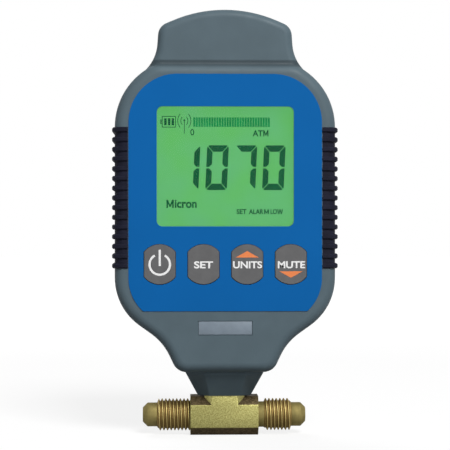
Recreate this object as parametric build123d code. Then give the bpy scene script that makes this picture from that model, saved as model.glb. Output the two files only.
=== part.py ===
"""A handheld digital vacuum gauge on a brass flare tee.

Millimetres. +X is right and +Z is up, seen from the front, and the front faces -Y.
The origin is under the middle of the tee, at mid-depth, so the part stands on z = 0.
"""
from build123d import *
import os
from math import cos, radians, sin, tan

os.makedirs("parts", exist_ok=True)

# Housing outline, seen from the front
body_half_width = 37.7
body_top_z = 127.8
body_top_radius = 9.8
shoulder_corner_z = 118.8
shoulder_slope = 56.0
shoulder_radius = 23.5
hip_corner_z = 44.6
hip_slope = 54.4
hip_radius = 20.0
flank_corner_z = 32.8
flank_slope = 25.6
flank_radius = 19.2
chin_z = 22.6
chin_radius = 5.0

# Tab above the body
crown_z = 146.7
crown_radius = 45.2
crown_fall = 23.1
tab_half_width = 22.75
tab_lean = 4.0
tab_corner_radius = 4.6
waist_z = 128.7
waist_radius = 13.7
root_slope = 52.2
root_run = 10.0
root_radius = 2.6

# Housing depths, walls and roundings; the rear's depth follows from the battery
front_depth = 16.0
tab_step = 2.2
tab_rear_depth = 8.0
wall = 2.2
edge_round = 3.3
valley_round = 1.6
tab_round = 2.6
parting_groove = 0.25
parting_half_height = 0.4
parting_reach = 1.0

# Nose under the chin, a tapered octagon
nose_top_half = 13.9
nose_top_depth = 12.0
nose_top_facet = 7.3
nose_band = 1.2
nose_foot_half = 9.25
nose_foot_depth = 7.2
nose_foot_facet = 5.3
nose_corner_radius = 1.2

# Brass tee, flare ends to the 7/16-20 flare thread
thread_radius = 5.556
tee_half = 6.7
tee_chamfer = 2.8
tee_half_length = 11.8
branch_half = 7.0
branch_chamfer = 2.6
branch_top_z = 13.9
forging_edge_round = 0.5
flare_reach = 28.35
flare_root = 1.0
flare_nose_radius = 4.15
flare_nose_run = 3.3
seat_tip_radius = 2.5
lead_in = 0.55
left_neck = 0.0
right_neck = 2.1
neck_radius = 4.45
passage_radius = 2.35
stem_radius = 5.25
stem_top_z = 31.0
seal_z = 17.8
seal_section_radius = 0.9
clip_groove_radius = 4.1
clip_thickness = 1.0
clip_radius = 7.6
clip_mouth = 7.0

# Sensor on top of the tee's stem
can_radius = 6.5
can_wall = 0.8
can_floor = 2.0
can_height = 15.0
header_thickness = 2.0
pin_radius = 0.45
pin_pitch = 2.5
pin_count = 4
pin_inside = 3.0
pin_outside = 4.0
bead_radius = 0.7

# Rubber grips
grip_low_z = 58.1
grip_high_z = 106.2
grip_reach = 4.6
grip_thickness = 1.0
rib_count = 15
rib_height = 1.75
rib_proud_side = 0.9
rib_proud_face = 0.55
rib_chamfer = 0.4

# Front label, window and keys
label_gap = 0.2
label_top_z = 124.3
label_low_z = 43.6
label_thickness = 0.25
label_top_radius = 16.5
label_corner_radius = 1.0
window_z = 92.85
window_width = 46.5
window_height = 40.65
window_corner = 1.9
window_flange = 1.5
window_flange_thickness = 1.0
window_proud = 0.15
key_z = 59.5
key_row_margin = 15.41
key_diameter = 13.6
key_width = 10.7
key_proud = 0.4
key_flange = 1.0
key_flange_thickness = 1.0
key_hub_radius = 2.1
key_hub_length = 0.3
key_travel = 0.3
key_edge = 0.15
plate_z = 37.85
plate_width = 18.5
plate_height = 4.9
plate_recess = 0.35

# Display stack
display_gap = 0.25
glass_thickness = 1.8
glass_margin = 1.7
light_guide_thickness = 2.35
light_guide_margin = 2.4
frame_wall = 1.5
connector_width = 1.8

# Circuit board and what stands on it
board_thickness = 1.6
board_side_margin = 5.5
board_low_z = 47.0
board_high_z = 121.0
board_edge_gap = 1.2
board_hole_margin = 2.5
board_hole_low_z = 76.0
board_hole_high_z = 97.0
post_radius = 2.4
post_pilot_radius = 1.1
board_screw_head_radius = 2.2
board_screw_head = 1.4
board_screw_length = 5.0
switch_size = 6.0
switch_height = 3.4
plunger_radius = 1.65
plunger_engaged = 2.4
chip_size = 10.0
chip_height = 1.4
chip_margin = 9.5
chip_z = 86.5
buzzer_radius = 5.5
buzzer_height = 6.0
buzzer_hole_radius = 1.0
socket_width = 12.0
socket_height = 5.0
socket_depth = 5.0
socket_low_z = 56.0
lead_radius = 0.5
lead_bend = 1.6

# Housing screws
boss_top_inset = 7.1
boss_top_z = 107.5
boss_low_inset = 7.0
boss_low_z = 51.5
front_boss_radius = 3.4
rear_boss_radius = 4.2
screw_radius = 1.5
screw_clearance = 0.2
screw_head_radius = 2.8
screw_head_height = 2.0
screw_length = 13.0
screw_seat_y = 4.0
pilot_run_out = 2.0
drive_radius = 1.3
drive_depth = 1.1

# Battery, its bay and its door
battery_width = 26.5
battery_depth = 17.5
battery_height = 46.2
battery_round = 2.0
battery_low_z = 65.0
terminal_height = 2.6
stud_radius = 2.9
cup_radius = 4.1
terminal_pitch = 12.7
bay_gap = 0.5
bay_wall = 1.5
bay_board_gap = 1.0
bay_head_room = 8.2
snap_thickness = 1.8
snap_rim = 0.9
bay_slot_width = 9.0
bay_slot_height = 2.4
door_half_width = 17.0
door_low_z = 61.0
door_thickness = 2.0
tongue_reach = 1.2
tongue_thickness = 0.9
ledge_thickness = 2.0
ledge_margin = 3.0
door_gap = 0.15
door_ridges = 6
door_ridge_pitch = 2.2
door_ridge_height = 0.9
door_ridge_depth = 0.4
door_ridge_length = 18.0
door_ridge_low_z = 66.0
pad_width = 20.0
pad_height = 24.0
pad_thickness = 0.6

# Clearances
slide_gap = 0.15
seat_gap = 0.02
pin_gap = 0.05
fit_gap = 0.1

# Depths that follow from the sizes above, from the front to the rear
front_inner_y = -(front_depth - wall)
label_front_y = -(front_depth + label_thickness)
glass_front_y = front_inner_y + window_flange_thickness + display_gap
board_front_y = glass_front_y + glass_thickness + light_guide_thickness
board_rear_y = board_front_y + board_thickness
bay_floor_y = board_rear_y + bay_board_gap + bay_wall
battery_front_y = bay_floor_y + fit_gap
battery_rear_y = battery_front_y + battery_depth
ledge_y = battery_rear_y + fit_gap + pad_thickness
rear_depth = ledge_y + door_thickness
rear_inner_y = rear_depth - wall
tab_front_depth = front_depth - tab_step
key_back_y = front_inner_y + slide_gap
plunger_front_y = key_back_y + key_flange_thickness + key_hub_length
pilot_end_y = screw_seat_y - screw_length - pilot_run_out

# Widths and heights that follow from the sizes above
tee_axis_z = tee_half
floor_z = chin_z + wall
grip_inner_half = body_half_width - grip_reach
label_margin = grip_reach + label_gap
board_half_width = body_half_width - board_side_margin
board_hole_x = board_half_width - board_hole_margin
chip_x = board_half_width - chip_margin
boss_top_x = body_half_width - boss_top_inset
boss_low_x = body_half_width - boss_low_inset
key_names = ["power", "set", "units", "mute"]
key_pitch = 2 * (body_half_width - key_row_margin) / (len(key_names) - 1)
key_x = [key_pitch * (i - (len(key_names) - 1) / 2) for i in range(len(key_names))]
boss_places = [(sx * x, z) for x, z in ((boss_top_x, boss_top_z), (boss_low_x, boss_low_z)) for sx in (-1, 1)]
post_places = [(sx * board_hole_x, z) for z in (board_hole_low_z, board_hole_high_z) for sx in (-1, 1)]


def save(shape, name):
    """Write one node as one STEP file."""
    shape.label = name
    export_step(shape, f"parts/{name}.step")


def box(x0, x1, y0, y1, z0, z1):
    """A box between its lowest and highest corners."""
    centre = Pos((x0 + x1) / 2, (y0 + y1) / 2, (z0 + z1) / 2)
    return centre * Box(x1 - x0, y1 - y0, z1 - z0)


def rod(radius, x, z, y0, y1):
    """A cylinder along Y between two depths."""
    return Pos(x, (y0 + y1) / 2, z) * Rot(90, 0, 0) * Cylinder(radius, y1 - y0)


def post(radius, z0, z1, x=0, y=0):
    """A cylinder along Z between two heights."""
    return Pos(x, y, (z0 + z1) / 2) * Cylinder(radius, z1 - z0)


def forward(sketch, y_from, y_to):
    """Extrude a front-view sketch between two depths, y_from behind y_to or the other way."""
    low, high = min(y_from, y_to), max(y_from, y_to)
    return extrude(Plane.XZ.offset(-high) * sketch, amount=high - low)


def parallel_corners(points, radii, inset):
    """The corners and radii of the outline that runs inset inside a clockwise one."""
    corners, rounds = [], []
    for i, here in enumerate(points):
        arriving = (Vector(here) - Vector(points[i - 1])).normalized()
        leaving = (Vector(points[(i + 1) % len(points)]) - Vector(here)).normalized()
        inward = Vector(arriving.Y + leaving.Y, -arriving.X - leaving.X)
        corner = Vector(here) + inward * (inset / (1 + arriving.dot(leaving)))
        corners.append((corner.X, corner.Y))
        convex = arriving.cross(leaving).Z < 0
        rounds.append(radii[i] - inset if convex else radii[i] + inset)
    return corners, rounds


def closed_outline(corners, radii, apex=None, apex_radius=0.0, inset=0.0):
    """A face from the right half's corners, top to bottom, mirrored to the left."""
    left = [(-x, z) for x, z in reversed(corners)]
    points = list(corners) + left
    rounds = list(radii) + list(reversed(radii))
    if apex is not None:
        points = [apex] + points
        rounds = [apex_radius] + rounds
    points, rounds = parallel_corners(points, rounds, inset)
    return make_face(FilletPolyline(*points, radius=rounds, close=True))


def body_outline(inset=0.0):
    """The body without its tab: shoulders, straight sides, hips, flanks and chin."""
    top_x = body_half_width - (body_top_z - shoulder_corner_z) * tan(radians(shoulder_slope))
    flank_x = body_half_width - (hip_corner_z - flank_corner_z) * tan(radians(hip_slope))
    chin_x = flank_x - (flank_corner_z - chin_z) * tan(radians(flank_slope))
    corners = [
        (top_x, body_top_z),
        (body_half_width, shoulder_corner_z),
        (body_half_width, hip_corner_z),
        (flank_x, flank_corner_z),
        (chin_x, chin_z),
    ]
    radii = [body_top_radius, shoulder_radius, hip_radius, flank_radius, chin_radius]
    return closed_outline(corners, radii, inset=inset)


def tab_outline(inset=0.0):
    """The crowned tab, with a root that runs down inside the body."""
    apex_z = crown_z + crown_radius * (1 / cos(radians(crown_fall)) - 1)
    corner_z = apex_z - tab_half_width * tan(radians(crown_fall))
    waist_x = tab_half_width + (corner_z - waist_z) * tan(radians(tab_lean))
    root_x = waist_x + root_run * sin(radians(root_slope))
    root_z = waist_z - root_run * cos(radians(root_slope))
    corners = [
        (tab_half_width, corner_z),
        (waist_x, waist_z),
        (root_x, root_z),
        (tab_half_width, root_z - root_run),
    ]
    radii = [tab_corner_radius, waist_radius, root_radius, root_radius]
    return closed_outline(corners, radii, apex=(0, apex_z), apex_radius=crown_radius, inset=inset)


def slab(outline, depth, rounding):
    """An outline drawn forward from the parting plane, with its front edge rounded."""
    solid = extrude(Plane.XZ * outline, amount=depth)
    front = solid.faces().sort_by(Axis.Y)[0]
    return fillet(front.edges(), rounding)


def octagon(half_x, half_y, facet_half, z):
    """A level octagon with eased corners, whose front facet is 2 x facet_half wide."""
    cut = half_x - facet_half
    points = [
        (facet_half, half_y),
        (half_x, half_y - cut * half_y / half_x),
        (half_x, -(half_y - cut * half_y / half_x)),
        (facet_half, -half_y),
        (-facet_half, -half_y),
        (-half_x, -(half_y - cut * half_y / half_x)),
        (-half_x, half_y - cut * half_y / half_x),
        (-facet_half, half_y),
    ]
    return Pos(0, 0, z) * make_face(FilletPolyline(*points, radius=nose_corner_radius, close=True))


def nose():
    """The whole tapered octagon, both halves of the housing together."""
    share = nose_band / (chin_z - branch_top_z)
    band_half = nose_top_half + (nose_foot_half - nose_top_half) * share
    band_facet = nose_top_facet + (nose_foot_facet - nose_top_facet) * share
    top = octagon(nose_top_half, nose_top_depth, nose_top_facet, chin_z)
    band = octagon(band_half, nose_top_depth, band_facet, chin_z - nose_band)
    foot = octagon(nose_foot_half, nose_foot_depth, nose_foot_facet, branch_top_z)
    plug = Pos(0, 0, chin_z + wall / 2) * Box(2 * nose_top_facet, 2 * nose_foot_depth, wall)
    return loft([foot, band], ruled=True) + loft([band, top], ruled=True) + plug


def half_envelope(body_depth, tab_depth):
    """The outside of one housing half, drawn forward from the parting plane."""
    solid = slab(body_outline(), body_depth, edge_round) + slab(tab_outline(), tab_depth, tab_round)
    valley = [
        edge
        for edge in solid.edges()
        if abs(edge.center().Y + tab_depth) < seat_gap and edge.center().Z < body_top_z + seat_gap
    ]
    half_nose = nose() & box(-body_half_width, body_half_width, -body_depth, 0, 0, crown_z)
    return fillet(valley, valley_round) + half_nose


def half_cavity(body_depth, tab_depth):
    """The hollow of one housing half."""
    body = slab(body_outline(wall), body_depth - wall, edge_round - wall)
    tab = extrude(Plane.XZ * tab_outline(wall), amount=tab_depth - wall)
    return body + tab


def to_rear(shape):
    """Turn a shape drawn for the front half into the rear half's."""
    return mirror(shape, about=Plane.XZ)


def parting_ring():
    """The shallow groove that marks the parting line on each half."""
    outside = body_outline(-parting_reach) + tab_outline(-parting_reach)
    ring = outside - body_outline(parting_groove) - tab_outline(parting_groove)
    return extrude(Plane.XZ * ring, amount=parting_half_height)


def grip_band(x_out, y_out, inner):
    """A level section round the side edge: from the housing's surface, or proud of it, inwards."""
    half_x = body_half_width + x_out
    low_y = -(front_depth + y_out)
    high_y = rear_depth + y_out
    outer = Pos(0, (low_y + high_y) / 2) * RectangleRounded(2 * half_x, high_y - low_y, edge_round + y_out)
    core_x = body_half_width - inner
    core = Pos(0, (rear_depth - front_depth) / 2) * RectangleRounded(
        2 * core_x, front_depth + rear_depth - 2 * inner, edge_round - inner
    )
    side = Pos((grip_inner_half + half_x) / 2, 0) * Rectangle(half_x - grip_inner_half, 2 * (high_y - low_y))
    return (outer - core) & side


def grip(sign):
    """One rubber grip: a base let into the housing, and ribs that stand proud."""
    base_section = grip_band(0, 0, grip_thickness)
    rib_section = grip_band(rib_proud_side, rib_proud_face, grip_thickness / 2)
    solid = extrude(Pos(0, 0, grip_low_z) * base_section, amount=grip_high_z - grip_low_z)
    pitch = (grip_high_z - grip_low_z - rib_height) / (rib_count - 1)
    rib = extrude(Pos(0, 0, grip_low_z) * rib_section, amount=rib_height)
    rib = chamfer(rib.edges().filter_by(Axis.Z, reverse=True), rib_chamfer)
    for i in range(rib_count):
        solid += Pos(0, 0, i * pitch) * rib
    return solid if sign > 0 else mirror(solid, about=Plane.YZ)


def grip_recess():
    """The shallow bands on both sides that the grips are let into."""
    section = grip_band(rib_proud_side, rib_proud_face, grip_thickness)
    right = extrude(Pos(0, 0, grip_low_z) * section, amount=grip_high_z - grip_low_z)
    return right + mirror(right, about=Plane.YZ)


def key_outline(extra=0.0):
    """A key's front view: a disc with two flattened sides."""
    return Circle(key_diameter / 2 + extra) & Rectangle(key_width + 2 * extra, key_diameter + 2 * extra)


def key_openings():
    """The four key openings with their running gap, as one sketch."""
    return Sketch() + [Pos(x, key_z) * key_outline(slide_gap) for x in key_x]


def window_outline(extra=0.0):
    """The display window's front view."""
    return Pos(0, window_z) * RectangleRounded(
        window_width + 2 * extra, window_height + 2 * extra, window_corner + extra
    )


def label_outline():
    """The front label: wide round shoulders, hips beside the housing's own, cut straight at the foot."""
    half = body_half_width - label_margin
    low_round = hip_radius - label_margin
    low_centre = hip_corner_z + hip_radius * tan(radians(hip_slope / 2))
    full = closed_outline(
        [(half, label_top_z), (half, low_centre - low_round)],
        [label_top_radius, low_round],
    )
    band = Pos(0, (body_top_z + label_low_z) / 2) * Rectangle(2 * body_half_width, body_top_z - label_low_z)
    sheet = full & band
    cut_corners = [v for v in sheet.vertices() if abs(v.Y - label_low_z) < seat_gap]
    return fillet(cut_corners, label_corner_radius)


def front_shell():
    """The front half, with window, key openings, posts and screw bosses."""
    shell = half_envelope(front_depth, tab_front_depth) - half_cavity(front_depth, tab_front_depth)
    for x, z in boss_places:
        shell += rod(front_boss_radius, x, z, front_inner_y - wall / 2, 0)
        shell -= rod(screw_radius - screw_clearance, x, z, pilot_end_y, 0)
    for x, z in post_places:
        shell += rod(post_radius, x, z, front_inner_y - wall / 2, board_front_y)
        shell -= rod(post_pilot_radius, x, z, front_inner_y, board_front_y)
    openings = window_outline(fit_gap) + key_openings()
    shell -= forward(openings, -front_depth, front_inner_y)
    plate_place = Pos(0, plate_z) * Rectangle(plate_width, plate_height)
    shell -= forward(plate_place, -front_depth, plate_recess - front_depth)
    shell -= post(stem_radius + pin_gap, branch_top_z, floor_z)
    return shell - parting_ring() - grip_recess()


def rear_shell():
    """The rear half, with the battery bay, the door's slideway and the screw bosses."""
    outside = to_rear(half_envelope(rear_depth, tab_rear_depth))
    shell = outside - to_rear(half_cavity(rear_depth, tab_rear_depth))
    bay_x = battery_width / 2 + bay_gap
    bay_low = battery_low_z - bay_gap
    bay_high = battery_low_z + battery_height + bay_head_room
    ledge_x = door_half_width + tongue_reach + ledge_margin
    ledge_low = door_low_z - ledge_margin
    shell += box(-ledge_x, ledge_x, ledge_y - ledge_thickness, rear_depth, ledge_low, body_top_z) & outside
    shell += box(
        -bay_x - bay_wall,
        bay_x + bay_wall,
        bay_floor_y - bay_wall,
        ledge_y - ledge_thickness / 2,
        bay_low - bay_wall,
        bay_high + bay_wall,
    )
    shell -= box(-bay_x, bay_x, bay_floor_y, rear_depth, bay_low, bay_high)
    shell -= box(
        -bay_slot_width / 2,
        bay_slot_width / 2,
        bay_floor_y - bay_wall,
        bay_floor_y,
        bay_high - bay_gap - bay_slot_height,
        bay_high - bay_gap,
    )
    for x, z in boss_places:
        shell += rod(rear_boss_radius, x, z, 0, rear_inner_y + wall / 2)
        shell -= rod(screw_radius + screw_clearance, x, z, 0, screw_seat_y)
        shell -= rod(screw_head_radius + screw_clearance, x, z, screw_seat_y, rear_depth)
    groove_x = door_half_width + tongue_reach
    shell -= box(-door_half_width, door_half_width, ledge_y - door_gap, rear_depth, door_low_z, crown_z)
    shell -= box(
        -groove_x,
        groove_x,
        ledge_y - door_gap,
        ledge_y + tongue_thickness + door_gap,
        door_low_z,
        body_top_z,
    )
    shell -= post(stem_radius + pin_gap, branch_top_z, floor_z)
    return shell - to_rear(parting_ring()) - grip_recess()


def battery_door():
    """The sliding door: the housing's own skin, with side tongues and thumb ridges."""
    edge_x = door_half_width - door_gap
    tongue_x = door_half_width + tongue_reach - door_gap
    low_z = door_low_z + door_gap
    skin = box(-edge_x, edge_x, ledge_y, rear_depth, low_z, body_top_z)
    tongues = box(-tongue_x, tongue_x, ledge_y, ledge_y + tongue_thickness, low_z, body_top_z)
    door = (skin + tongues) & to_rear(slab(body_outline(), rear_depth, edge_round))
    for i in range(door_ridges):
        z = door_ridge_low_z + i * door_ridge_pitch
        door -= box(
            -door_ridge_length / 2,
            door_ridge_length / 2,
            rear_depth - door_ridge_depth,
            rear_depth,
            z,
            z + door_ridge_height,
        )
    return door


def battery_pad():
    """The foam that holds the battery in its bay, bonded inside the door."""
    mid_z = battery_low_z + battery_height / 2
    return box(
        -pad_width / 2,
        pad_width / 2,
        ledge_y - pad_thickness,
        ledge_y,
        mid_z - pad_height / 2,
        mid_z + pad_height / 2,
    )


def flare_end(neck):
    """One flare end along +X: relief neck, plain thread cylinder, nose and 45 degree seat."""
    seat_x = flare_reach - (flare_nose_radius - seat_tip_radius)
    nose_x = seat_x - flare_nose_run
    thread_x = nose_x - lead_in
    root_x = tee_half_length - flare_root
    outline = [(root_x, 0)]
    if neck > 0:
        neck_x = tee_half_length + neck
        outline += [(root_x, neck_radius), (neck_x, neck_radius), (neck_x, thread_radius)]
    else:
        outline += [(root_x, thread_radius)]
    outline += [
        (thread_x, thread_radius),
        (nose_x, flare_nose_radius),
        (seat_x, flare_nose_radius),
        (flare_reach, seat_tip_radius),
        (flare_reach, 0),
    ]
    face = Plane.XZ * make_face(Polyline(*outline, close=True))
    return Pos(0, 0, tee_axis_z) * revolve(face, Axis.X)


def flare_tee():
    """The forged tee: octagonal run and branch, two flare ends and the turned stem."""
    flat = tee_half - tee_chamfer
    run_section = make_face(
        Polyline(
            (flat, tee_half),
            (tee_half, flat),
            (tee_half, -flat),
            (flat, -tee_half),
            (-flat, -tee_half),
            (-tee_half, -flat),
            (-tee_half, flat),
            (-flat, tee_half),
            close=True,
        )
    )
    run = extrude(Plane.YZ.offset(-tee_half_length) * run_section, amount=2 * tee_half_length)
    run = Pos(0, 0, tee_axis_z) * fillet(run.edges(), forging_edge_round)
    branch_section = make_face(
        Polyline(
            (branch_half - branch_chamfer, tee_half),
            (branch_half, tee_half - branch_chamfer),
            (branch_half, branch_chamfer - tee_half),
            (branch_half - branch_chamfer, -tee_half),
            (branch_chamfer - branch_half, -tee_half),
            (-branch_half, branch_chamfer - tee_half),
            (-branch_half, tee_half - branch_chamfer),
            (branch_chamfer - branch_half, tee_half),
            close=True,
        )
    )
    branch = extrude(Pos(0, 0, tee_axis_z) * branch_section, amount=branch_top_z - tee_axis_z)
    branch = fillet(branch.edges().filter_by(Axis.Z), forging_edge_round)
    tee = run + branch + flare_end(right_neck) + mirror(flare_end(left_neck), about=Plane.YZ)
    tee += post(stem_radius, tee_axis_z, stem_top_z)
    seal_groove = post(stem_radius, seal_z - seal_section_radius, seal_z + seal_section_radius)
    tee -= seal_groove - post(stem_radius + pin_gap - 2 * seal_section_radius, 0, crown_z)
    clip_groove = post(stem_radius, floor_z, floor_z + clip_thickness + 2 * pin_gap)
    tee -= clip_groove - post(clip_groove_radius, 0, crown_z)
    passage = Pos(0, 0, tee_axis_z) * Rot(0, 90, 0) * Cylinder(passage_radius, 2 * flare_reach)
    return tee - passage - post(passage_radius, tee_axis_z, stem_top_z)


def stem_seal():
    """The O-ring between the stem and the nose's hole."""
    ring_radius = stem_radius + pin_gap - seal_section_radius
    return Pos(0, 0, seal_z) * Torus(ring_radius, seal_section_radius)


def stem_clip():
    """The E-clip in the stem's groove, which rests on the housing's floor."""
    low = floor_z + pin_gap
    high = low + clip_thickness
    clip = post(clip_radius, low, high) - post(clip_groove_radius + seat_gap, low, high)
    return clip - box(-clip_mouth / 2, clip_mouth / 2, 0, clip_radius, low, high)


def sensor_can():
    """The sensor's can, brazed over the top of the stem."""
    low = stem_top_z - can_floor
    can = post(can_radius, low, low + can_height)
    can -= post(can_radius - can_wall, stem_top_z, low + can_height)
    return can - post(stem_radius + seat_gap, low, stem_top_z)


def sensor_header():
    """The header that closes the can, with its row of pins."""
    high = stem_top_z - can_floor + can_height
    header = post(can_radius - can_wall - seat_gap, high - header_thickness, high)
    for i in range(pin_count):
        x = pin_pitch * (i - (pin_count - 1) / 2)
        header += post(pin_radius, high - header_thickness - pin_inside, high + pin_outside, x=x)
    return header


def sensing_bead():
    """The thermistor bead in the gas, held at the tips of the two middle pins."""
    tip_z = stem_top_z - can_floor + can_height - header_thickness - pin_inside
    bead = Pos(0, 0, tip_z - bead_radius) * Sphere(bead_radius)
    half = bead_radius / 4
    wire = box(-pin_pitch / 2, pin_pitch / 2, -half, half, tip_z - 2 * half, tip_z)
    return bead + wire


def sensor_leads():
    """Four insulated leads from the header's pins to the board's socket."""
    pin_top = stem_top_z - can_floor + can_height + pin_outside
    socket_y = board_rear_y + socket_depth / 2
    rise = (socket_low_z - pin_top) / 3
    leads = []
    for i in range(pin_count):
        x = pin_pitch * (i - (pin_count - 1) / 2)
        path = FilletPolyline(
            (x, 0, pin_top),
            (x, 0, pin_top + rise),
            (x, socket_y, socket_low_z - rise),
            (x, socket_y, socket_low_z),
            radius=lead_bend,
        )
        leads.append(sweep(Plane(path @ 0, z_dir=path % 0) * Circle(lead_radius), path=path))
    return Compound(children=leads)


def sensor_socket():
    """The connector that the sensor's leads plug into."""
    return box(
        -socket_width / 2,
        socket_width / 2,
        board_rear_y,
        board_rear_y + socket_depth,
        socket_low_z,
        socket_low_z + socket_height,
    )


def face_label():
    """The printed film on the front, cut out for the window and the keys."""
    sheet = label_outline() - window_outline(fit_gap) - key_openings()
    return forward(sheet, label_front_y, -front_depth)


def display_window():
    """The clear window: a plug that fills the opening, on a flange inside the wall."""
    plug = forward(window_outline(), -(front_depth + window_proud), front_inner_y)
    flange = forward(window_outline(window_flange), front_inner_y, front_inner_y + window_flange_thickness)
    return plug + flange


def push_key(x):
    """One key: its face in the opening, a flange behind the wall and a hub on the switch."""
    face = forward(Pos(x, key_z) * key_outline(), -(front_depth + key_proud), key_back_y)
    flange_y = key_back_y + key_flange_thickness
    flange = forward(Pos(x, key_z) * key_outline(key_flange), key_back_y, flange_y)
    front_face = face.faces().sort_by(Axis.Y)[0]
    face = chamfer(front_face.edges(), key_edge)
    return face + flange + rod(key_hub_radius, x, key_z, flange_y, plunger_front_y)


def switch_plunger(x):
    """The moving stem of one tactile switch."""
    return rod(plunger_radius, x, key_z, plunger_front_y, board_front_y - switch_height + plunger_engaged)


def key_switches():
    """The four switch bodies on the board."""
    top_y = board_front_y - switch_height
    well_y = top_y + plunger_engaged + key_travel + fit_gap
    half = switch_size / 2
    bodies = []
    for x in key_x:
        body = box(x - half, x + half, top_y, board_front_y, key_z - half, key_z + half)
        bodies.append(body - rod(plunger_radius + pin_gap, x, key_z, top_y, well_y))
    return Compound(children=bodies)


def glass_outline(extra=0.0):
    """The display glass's front view, square at its corners."""
    width = window_width + 2 * (glass_margin + extra)
    height = window_height + 2 * (glass_margin + extra)
    return Pos(0, window_z) * Rectangle(width, height)


def lcd_glass():
    """The liquid crystal glass."""
    return forward(glass_outline(), glass_front_y, glass_front_y + glass_thickness)


def backlight():
    """The light guide behind the glass, down to the board."""
    width = window_width + 2 * glass_margin
    height = window_height + 2 * glass_margin - 2 * light_guide_margin
    sketch = Pos(0, window_z) * Rectangle(width, height)
    return forward(sketch, glass_front_y + glass_thickness, board_front_y)


def lcd_connectors():
    """The two elastomer strips between the glass and the board."""
    edge = window_height / 2 + glass_margin
    width = window_width
    strips = []
    for side in (-1, 1):
        z = window_z + side * (edge - connector_width / 2)
        sketch = Pos(0, z) * Rectangle(width, connector_width)
        strips.append(forward(sketch, glass_front_y + glass_thickness, board_front_y))
    return Compound(children=strips)


def lcd_frame():
    """The moulded frame that holds the display stack on the board."""
    ring = glass_outline(fit_gap + frame_wall) - glass_outline(fit_gap)
    return forward(ring, glass_front_y, board_front_y)


def circuit_board():
    """The board, cut to the housing and round its bosses."""
    inside = body_outline(wall + board_edge_gap)
    height = board_high_z - board_low_z
    band = Pos(0, board_low_z + height / 2) * Rectangle(2 * board_half_width, height)
    sketch = inside & band
    for x, z in boss_places:
        sketch -= Pos(x, z) * Circle(rear_boss_radius + board_edge_gap)
    for x, z in post_places:
        sketch -= Pos(x, z) * Circle(post_pilot_radius + slide_gap)
    return forward(sketch, board_front_y, board_rear_y)


def board_screws():
    """The four small screws that hold the board to the front shell's posts."""
    screws = []
    for x, z in post_places:
        head_y = board_rear_y + board_screw_head
        screw = rod(board_screw_head_radius, x, z, board_rear_y, head_y)
        screw += rod(post_pilot_radius - seat_gap, x, z, board_rear_y - board_screw_length, board_rear_y)
        screw -= box(
            x - post_pilot_radius,
            x + post_pilot_radius,
            head_y - board_screw_head / 2,
            head_y,
            z - pin_radius / 2,
            z + pin_radius / 2,
        )
        screws.append(screw)
    return Compound(children=screws)


def main_chip():
    """The controller on the board's rear."""
    half = chip_size / 2
    top_y = board_rear_y + chip_height
    return box(chip_x - half, chip_x + half, board_rear_y, top_y, chip_z - half, chip_z + half)


def buzzer():
    """The alarm's buzzer on the board's rear."""
    top_y = board_rear_y + buzzer_height
    can = rod(buzzer_radius, -chip_x, chip_z, board_rear_y, top_y)
    return can - rod(buzzer_hole_radius, -chip_x, chip_z, top_y - buzzer_height / 2, top_y)


def housing_screws():
    """The four screws that draw the halves together from the rear."""
    screws = []
    for x, z in boss_places:
        head_y = screw_seat_y + screw_head_height
        screw = rod(screw_head_radius, x, z, screw_seat_y, head_y)
        shank_radius = screw_radius - screw_clearance - seat_gap
        screw += rod(shank_radius, x, z, screw_seat_y - screw_length, screw_seat_y)
        for turn in (0, 90):
            slot = Box(2 * drive_radius, drive_depth, drive_radius / 2)
            screw -= Pos(x, head_y - drive_depth / 2, z) * Rot(0, turn, 0) * slot
        screws.append(screw)
    return Compound(children=screws)


def battery():
    """The nine volt block, with its stud and its cup on top."""
    mid_y = (battery_front_y + battery_rear_y) / 2
    sketch = Pos(0, mid_y) * RectangleRounded(battery_width, battery_depth, battery_round)
    block = extrude(Pos(0, 0, battery_low_z) * sketch, amount=battery_height)
    top = battery_low_z + battery_height
    block += post(stud_radius, top, top + terminal_height, x=-terminal_pitch / 2, y=mid_y)
    block += post(cup_radius, top, top + terminal_height, x=terminal_pitch / 2, y=mid_y)
    return block - post(stud_radius + pin_gap, top, top + terminal_height, x=terminal_pitch / 2, y=mid_y)


def battery_snap():
    """The snap plate, with a cup over the battery's stud and a stud in its cup."""
    top = battery_low_z + battery_height
    plate_low = top + terminal_height + pin_gap
    mid_y = (battery_front_y + battery_rear_y) / 2
    half_x = terminal_pitch / 2 + cup_radius + snap_rim
    half_y = cup_radius + snap_rim
    snap = box(-half_x, half_x, mid_y - half_y, mid_y + half_y, plate_low, plate_low + snap_thickness)
    low = top + pin_gap
    cup = post(stud_radius + snap_rim + pin_gap, low, plate_low, x=-terminal_pitch / 2, y=mid_y)
    cup -= post(stud_radius + pin_gap, low, plate_low, x=-terminal_pitch / 2, y=mid_y)
    return snap + cup + post(stud_radius, low, plate_low, x=terminal_pitch / 2, y=mid_y)


def battery_leads():
    """The two leads from the snap plate through the bay's slot to the board."""
    top = battery_low_z + battery_height
    snap_top = top + terminal_height + pin_gap + snap_thickness
    slot_z = top + bay_head_room - bay_gap - bay_slot_height / 2
    mid_y = (battery_front_y + battery_rear_y) / 2
    leads = []
    for side in (-1, 1):
        x = side * bay_slot_width / 4
        corners = [(x, mid_y, snap_top), (x, mid_y, slot_z), (x, board_rear_y, slot_z)]
        path = FilletPolyline(*corners, radius=lead_radius * 2)
        leads.append(sweep(Plane(path @ 0, z_dir=path % 0) * Circle(lead_radius), path=path))
    return Compound(children=leads)


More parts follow.
